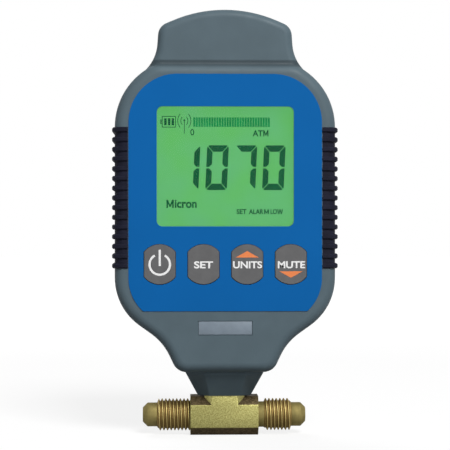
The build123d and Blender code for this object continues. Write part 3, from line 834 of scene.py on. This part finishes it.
class GAUGE_OT_tee(bpy.types.Operator):
    """Model the forged brass tee with its real threads"""

    bl_idname = "gauge.tee"
    bl_label = "Brass tee"

    forging_half_length = 11.8
    forging_half = 6.7
    forging_chamfer = 2.8
    branch_half = 7.0
    branch_chamfer = 2.6
    branch_top_z = 13.9
    edge_radius = 0.45
    hollow_radius = 0.9
    skin_and_shade_slope = 0.6
    major_radius = 5.556
    flare_reach = 28.35
    nose_radius = 4.15
    nose_run = 3.3
    seat_tip_radius = 2.5
    lead_in = 0.55
    left_neck = 0.0
    right_neck = 2.1
    neck_radius = 4.45
    stem_radius = 5.25
    seal_z = 17.8
    seal_radius = 0.85
    seal_depth = 1.75
    clip_low_z = 24.8
    clip_height = 1.1
    clip_groove_radius = 4.1
    stem_top_z = 31.0
    # One tooth of the thread, as shares of its pitch and of its depth
    tooth = ((0, 0), (0.1, 0), (0.41, 1), (0.59, 1), (0.9, 0), (1, 0))
    crest_depth = 0.25
    overlap = 0.2
    seat_blend = 0.1
    steps = 64
    plain_slot = 1
    shaded_valley_slot = 2

    def forging(self):
        """The octagonal run with its octagonal branch, edges rounded, and on the faces that look up or
        down a browner skin that is partly painted shade.
        """
        half, length = self.forging_half, self.forging_half_length
        bm = bmesh.new()
        bmesh.ops.create_cube(bm, size=1)
        bmesh.ops.scale(bm, vec=(2 * length, 2 * half, 2 * half), verts=bm.verts)
        bmesh.ops.translate(bm, vec=(0, 0, half), verts=bm.verts)
        along = [e for e in bm.edges if abs(e.verts[0].co.x - e.verts[1].co.x) > length]
        round_off(bm, along, self.forging_chamfer)
        self.raise_branch(bm)
        self.round_edges(bm)
        bm.normal_update()
        # Faces that look up or down take the browner skin, which is partly painted shade
        for face in bm.faces:
            face.material_index = int(abs(face.normal.z) > self.skin_and_shade_slope)
        return bm

    def raise_branch(self, bm):
        """Cut the branch's outline into the run's upper faces and draw it up."""
        reach, cut, half = self.branch_half, self.branch_chamfer, self.forging_half
        planes = [((side * reach, 0, 0), (side, 0, 0)) for side in (-1, 1)]
        for side_x in (-1, 1):
            for side_y in (-1, 1):
                corner = (side_x * (reach - cut), side_y * half, 0)
                planes.append((corner, (side_x, side_y, 0)))
        for point, normal in planes:
            upper = [f for f in bm.faces if f.normal.z > 0.1]
            geom = set(upper)
            for face in upper:
                geom.update(face.edges)
                geom.update(face.verts)
            bmesh.ops.bisect_plane(bm, geom=list(geom), dist=1e-4, plane_co=point, plane_no=normal)
        bm.normal_update()

        def inside(face):
            middle = face.calc_center_median()
            within = all((middle - Vector(point)).dot(Vector(normal)) < 0 for point, normal in planes)
            return face.normal.z > 0.1 and within

        grown = bmesh.ops.extrude_face_region(bm, geom=[f for f in bm.faces if inside(f)])
        top = [item for item in grown["geom"] if isinstance(item, bmesh.types.BMVert)]
        old = [f for f in bm.faces if inside(f) and not all(v in top for v in f.verts)]
        bmesh.ops.delete(bm, geom=old, context="FACES")
        for vert in top:
            vert.co.z = self.branch_top_z
        bmesh.ops.remove_doubles(bm, verts=bm.verts, dist=1e-4)
        bmesh.ops.dissolve_limit(bm, angle_limit=radians(1), verts=bm.verts, edges=bm.edges)
        face_outwards(bm)

    def round_edges(self, bm):
        """Round the outer edges a little and the hollow ones more."""
        bm.normal_update()
        hollow = [e for e in bm.edges if e.calc_face_angle_signed(0) < -radians(15)]
        round_off(bm, hollow, self.hollow_radius, segments=4)
        bm.normal_update()
        outer = [e for e in bm.edges if e.calc_face_angle_signed(0) > radians(25)]
        round_off(bm, outer, self.edge_radius, segments=3, clamp=True)

    def spin_profile(self, points):
        """A closed solid of revolution about X from (x, radius) points, its ends on the axis."""
        bm = bmesh.new()
        verts = [bm.verts.new((x, 0, radius)) for x, radius in points]
        edges = [bm.edges.new(pair) for pair in zip(verts, verts[1:])]
        bmesh.ops.spin(
            bm,
            geom=verts + edges,
            cent=(0, 0, 0),
            axis=(1, 0, 0),
            angle=2 * pi,
            steps=self.steps,
            use_merge=True,
        )
        bmesh.ops.remove_doubles(bm, verts=bm.verts, dist=1e-4)
        face_outwards(bm)
        return bm

    def thread(self, start_x, end_x, start_radius):
        """A closed threaded rod: a tooth drawn along its helix, faded out at both ends and capped."""
        sizes = looks().sizes
        pitch, depth = sizes.thread_pitch, sizes.thread_depth
        root, crest = self.major_radius - depth, self.major_radius
        turns = ceil((end_x - start_x) / pitch) + 2
        first_x = start_x - pitch
        bm = bmesh.new()
        verts = [bm.verts.new((first_x + along * pitch, 0, root + up * depth)) for along, up in self.tooth]
        edges = [bm.edges.new(pair) for pair in zip(verts, verts[1:])]
        bmesh.ops.spin(
            bm,
            geom=verts + edges,
            cent=(0, 0, 0),
            axis=(1, 0, 0),
            dvec=(pitch / self.steps, 0, 0),
            angle=2 * pi * turns,
            steps=self.steps * turns,
        )
        bmesh.ops.remove_doubles(bm, verts=bm.verts, dist=1e-3)
        slope = (crest - self.nose_radius) / self.lead_in
        for vert in bm.verts:
            radius = Vector((vert.co.y, vert.co.z)).length
            limit = self.nose_radius + max(0.0, end_x - vert.co.x) * slope
            if start_radius < root:
                limit = min(limit, start_radius + max(0.0, vert.co.x - start_x) * slope)
            if radius > limit:
                vert.co.y *= limit / radius
                vert.co.z *= limit / radius
        for x, side in ((start_x, -1), (end_x, 1)):
            geom = list(bm.verts) + list(bm.edges) + list(bm.faces)
            place, outwards = (x, 0, 0), (side, 0, 0)
            bmesh.ops.bisect_plane(
                bm, geom=geom, dist=1e-4, plane_co=place, plane_no=outwards, clear_outer=True
            )
            open_edges = [e for e in bm.edges if e.is_boundary]
            rim = [e for e in open_edges if all(abs(v.co.x - x) < 1e-3 for v in e.verts)]
            bmesh.ops.contextual_create(bm, geom=rim)
        face_outwards(bm)
        # Painted shade: faces below the crests take the darker finish of the grooves
        for face in bm.faces:
            centre = face.calc_center_median()
            if Vector((centre.y, centre.z)).length < crest - self.crest_depth:
                face.material_index = self.shaded_valley_slot
        return bm

    def flare_end(self, neck):
        """The pieces of one flare end along +X: the thread, the nose with its seat, and a neck if any."""
        nose_x = self.flare_reach - (self.nose_radius - self.seat_tip_radius) - self.nose_run
        seat_x = nose_x + self.nose_run
        root_x = self.forging_half_length - 1
        thread_x = self.forging_half_length + neck if neck > 0 else root_x
        nose = self.spin_profile(
            [
                (nose_x - self.lead_in, 0),
                (nose_x - self.lead_in, self.nose_radius - self.overlap),
                (nose_x, self.nose_radius),
                (seat_x - self.seat_blend, self.nose_radius),
                (seat_x + self.seat_blend, self.nose_radius - self.seat_blend),
                (self.flare_reach, self.seat_tip_radius),
                (self.flare_reach, 0),
            ]
        )
        plain = [nose]
        start_radius = self.major_radius
        if neck > 0:
            start_radius = radius = self.neck_radius
            end_x = thread_x + self.overlap
            plain.append(self.spin_profile([(root_x, 0), (root_x, radius), (end_x, radius), (end_x, 0)]))
        for piece in plain:
            for face in piece.faces:
                face.material_index = self.plain_slot
        return [self.thread(thread_x, nose_x, start_radius), *plain]

    def stem(self):
        """The turned stem inside the nose, with its seal and clip grooves."""
        radius, groove = self.stem_radius, self.seal_radius
        clip_z, clip_top_z = self.clip_low_z, self.clip_low_z + self.clip_height
        points = [
            (self.forging_half, 0),
            (self.forging_half, radius),
            (self.seal_z - groove, radius),
            (self.seal_z - groove, radius - self.seal_depth),
            (self.seal_z + groove, radius - self.seal_depth),
            (self.seal_z + groove, radius),
            (clip_z, radius),
            (clip_z, self.clip_groove_radius),
            (clip_top_z, self.clip_groove_radius),
            (clip_top_z, radius),
            (self.stem_top_z, radius),
            (self.stem_top_z, 0),
        ]
        bm = self.spin_profile(points)
        bmesh.ops.rotate(bm, matrix=Matrix.Rotation(radians(-90), 3, "Y"), verts=bm.verts)
        return bm

    def execute(self, context):
        turned = turned_brass()
        forging_finishes = (forged_brass(), forge_skin_and_painted_shade())
        flare_finishes = (turned, nose_brass(), thread_valley_shade())
        slot, node = "forged_brass", ("flare_tee",)
        put(self.forging(), "tee_forging", forging_finishes, HOUSING, slot, node, smooth=50)
        for side, neck, turn in (("right", self.right_neck, 0), ("left", self.left_neck, 180)):
            whole = bmesh.new()
            for piece in self.flare_end(neck):
                merge(whole, piece)
            bmesh.ops.rotate(whole, matrix=Matrix.Rotation(radians(turn), 3, "Z"), verts=whole.verts)
            bmesh.ops.translate(whole, vec=(0, 0, self.forging_half), verts=whole.verts)
            put(whole, f"tee_{side}_flare", flare_finishes, HOUSING, slot, node, smooth=30)
        put(self.stem(), "tee_stem", turned, HOUSING, slot, node)
        return {"FINISHED"}


class GAUGE_OT_inner(bpy.types.Operator):
    """Finish what the housing holds"""

    bl_idname = "gauge.inner"
    bl_label = "Inner pieces"

    def execute(self, context):
        black = plain_finish("black_moulding", srgb(38, 38, 40), 0.5)
        steel = plain_finish("bright_steel", srgb(186, 187, 190), 0.3, metallic=1.0)
        board = plain_finish("board_mask", srgb(20, 92, 50), 0.35)
        plungers = [f"{name}_plunger" for name in KEY_NAMES]
        on_board = ["key_switches", "lcd_frame", "main_chip", "buzzer", "sensor_socket"]
        finishes = {
            black: [*on_board, "battery_snap", *plungers],
            steel: ["board_screws", "stem_clip", "sensor_can", "sensing_bead", "sensor_header"],
            board: ["circuit_board"],
            plain_finish("light_guide", srgb(226, 236, 222), 0.2): ["backlight"],
            plain_finish("soft_rubber", srgb(40, 40, 40), 0.6): ["lcd_connectors", "stem_seal"],
            plain_finish("red_insulation", srgb(150, 28, 24), 0.4): ["sensor_leads", "battery_leads"],
            plain_finish("battery_jacket", srgb(56, 58, 62), 0.35): ["battery"],
            plain_finish("door_foam", srgb(70, 70, 72), 0.9, height=0.05): ["battery_pad"],
        }
        for finish, nodes in finishes.items():
            for node in nodes:
                paint(node, finish)
        return {"FINISHED"}


class GAUGE_OT_stage(bpy.types.Operator):
    """Set the floor, the studio light and the camera"""

    bl_idname = "gauge.stage"
    bl_label = "Stage"

    camera_distance = 0.560
    camera_height = 0.0729
    camera_turn = radians(1.7)
    aim_x = 0.00035
    view_width = 0.1575
    floor_size = 6.0
    floor_glow = 0.8
    floor_share = 0.2
    lit_reach = 0.3
    far_reach = 1.5
    shade_near = 0.015
    shade_far = 0.09
    fade_height = 0.6
    zenith = 0.5
    ambient = 0.1
    aim_z = 0.08

    def floor(self):
        """A pale floor that shows as white and keeps the object's shadow."""
        bm = bmesh.new()
        bmesh.ops.create_grid(bm, x_segments=1, y_segments=1, size=self.floor_size / 2)
        mesh = bpy.data.meshes.new("floor")
        bm.to_mesh(mesh)
        bm.free()
        floor = bpy.data.objects.new("floor", mesh)
        bpy.context.scene.collection.objects.link(floor)
        mesh.materials.append(self.floor_finish())

    def floor_finish(self):
        """Glows white to the eye further out, looks darker in what shines, and in what shines carries a
        painted shadow below the object.
        """
        share, glow = self.floor_share, self.floor_glow
        material = finish_of("pale_floor", (1, 1, 1), 0.9, specular=0.0)
        tree = material.node_tree
        shader = tree.nodes["Principled BSDF"]
        path = tree.nodes.new("ShaderNodeLightPath")
        shiny = path.outputs["Is Glossy Ray"]
        place = tree.nodes.new("ShaderNodeTexCoord")
        reach = tree.nodes.new("ShaderNodeVectorMath")
        reach.operation = "LENGTH"
        tree.links.new(place.outputs["Object"], reach.inputs["Vector"])
        distance = reach.outputs["Value"]
        pale = tree.nodes.new("ShaderNodeMix")
        pale.data_type = "RGBA"
        pale.inputs["A"].default_value = (share, share, share, 1)
        tree.links.new(shiny, pale.inputs["Factor"])
        # Painted shadow: in what shines, the floor's colour darkens towards the object's middle
        below = map_range(tree, distance, self.shade_near, self.shade_far, share, glow)
        tree.links.new(below, pale.inputs["B"])
        tree.links.new(pale.outputs["Result"], shader.inputs["Base Color"])
        near = map_range(tree, shiny, 0, 1, glow, share)
        light = map_range(tree, distance, self.lit_reach, self.far_reach, near, 1)
        strength = combine(tree, "MULTIPLY", self.seen_rays(tree), light)
        shader.inputs["Emission Color"].default_value = (1, 1, 1, 1)
        tree.links.new(strength, shader.inputs["Emission Strength"])
        return material

    def seen_rays(self, tree):
        """1 for rays from the camera, or by way of gloss or glass, and 0 for others."""
        path = tree.nodes.new("ShaderNodeLightPath")
        direct = combine(tree, "MAXIMUM", path.outputs["Is Camera Ray"], path.outputs["Is Glossy Ray"])
        return combine(tree, "MAXIMUM", direct, path.outputs["Is Transmission Ray"])

    def world(self):
        """White to the eye, darker overhead in what shines, and a plain soft light on the object."""
        world = bpy.data.worlds.new("studio")
        bpy.context.scene.world = world
        world.use_nodes = True
        tree = world.node_tree
        soft = tree.nodes["Background"]
        soft.inputs["Color"].default_value = (1, 1, 1, 1)
        soft.inputs["Strength"].default_value = self.ambient
        white = tree.nodes.new("ShaderNodeBackground")
        white.inputs["Color"].default_value = (1, 1, 1, 1)
        place = tree.nodes.new("ShaderNodeTexCoord")
        split = tree.nodes.new("ShaderNodeSeparateXYZ")
        tree.links.new(place.outputs["Generated"], split.inputs["Vector"])
        fall = map_range(tree, split.outputs["Z"], 0, self.fade_height, 1, self.zenith, smooth=True)
        path = tree.nodes.new("ShaderNodeLightPath")
        strength = map_range(tree, path.outputs["Is Glossy Ray"], 0, 1, 1, fall)
        tree.links.new(strength, white.inputs["Strength"])
        mix = tree.nodes.new("ShaderNodeMixShader")
        tree.links.new(self.seen_rays(tree), mix.inputs["Fac"])
        tree.links.new(soft.outputs["Background"], mix.inputs[1])
        tree.links.new(white.outputs["Background"], mix.inputs[2])
        tree.links.new(mix.outputs["Shader"], tree.nodes["World Output"].inputs["Surface"])

    def lamp(self, name, place, size, power):
        """A square soft light that points at the object's middle."""
        data = bpy.data.lights.new(name, "AREA")
        data.shape = "SQUARE"
        data.size = size
        data.energy = power
        lamp = bpy.data.objects.new(name, data)
        lamp.location = place
        aim = Vector((0, 0, self.aim_z)) - Vector(place)
        lamp.rotation_euler = aim.to_track_quat("-Z", "Y").to_euler()
        bpy.context.scene.collection.objects.link(lamp)
        return lamp

    def camera(self):
        """The camera at the photograph's viewing angle."""
        data = bpy.data.cameras.new("camera")
        data.sensor_width = 36
        data.lens = data.sensor_width * self.camera_distance / self.view_width
        camera = bpy.data.objects.new("camera", data)
        aim = Vector((self.aim_x, 0, self.camera_height))
        back = Vector((-sin(self.camera_turn), -cos(self.camera_turn), 0))
        camera.location = aim + back * self.camera_distance
        camera.rotation_euler = (-back).to_track_quat("-Z", "Y").to_euler()
        bpy.context.scene.collection.objects.link(camera)
        bpy.context.scene.camera = camera

    def execute(self, context):
        context.scene.view_settings.view_transform = "Standard"
        self.floor()
        self.world()
        self.lamp("front_light", (0.35, -1.0, 1.1), size=0.5, power=21)
        self.lamp("side_light", (0.45, -1.3, 0.35), size=0.25, power=2)
        rear = self.lamp("rear_light", (-0.4, 1.2, 1.0), size=0.8, power=12)
        # It would lay bright rims on the brass
        rear.visible_glossy = False
        self.camera()
        return {"FINISHED"}


class GAUGE_PT_panel(bpy.types.Panel):
    """The gauge's settings and the steps that build its looks"""

    bl_idname = "GAUGE_PT_panel"
    bl_label = "Vacuum gauge"
    bl_space_type = "VIEW_3D"
    bl_region_type = "UI"
    bl_category = "Gauge"

    def draw(self, context):
        settings = context.scene.gauge_looks
        for group in (settings.colours, settings.sizes):
            box = self.layout.box()
            for name in group.__annotations__:
                box.prop(group, name)
        for step in STEPS:
            self.layout.operator(step.bl_idname)


STEPS = (
    GAUGE_OT_stage,
    GAUGE_OT_housing,
    GAUGE_OT_grips,
    GAUGE_OT_label,
    GAUGE_OT_display,
    GAUGE_OT_keys,
    GAUGE_OT_tee,
    GAUGE_OT_inner,
)
GROUPS = (GaugeColours, GaugeSizes, GaugeLooks)


def register():
    for item in (*GROUPS, *STEPS, GAUGE_PT_panel):
        bpy.utils.register_class(item)
    bpy.types.Scene.gauge_looks = PointerProperty(type=GaugeLooks)


def unregister():
    del bpy.types.Scene.gauge_looks
    for item in reversed((*GROUPS, *STEPS, GAUGE_PT_panel)):
        bpy.utils.unregister_class(item)


def main():
    register()
    bpy.ops.gauge.stage()
    bpy.ops.gauge.housing()
    bpy.ops.gauge.grips()
    bpy.ops.gauge.label()
    bpy.ops.gauge.display()
    bpy.ops.gauge.keys()
    bpy.ops.gauge.tee()
    bpy.ops.gauge.inner()


if __name__ == "__main__":
    main()
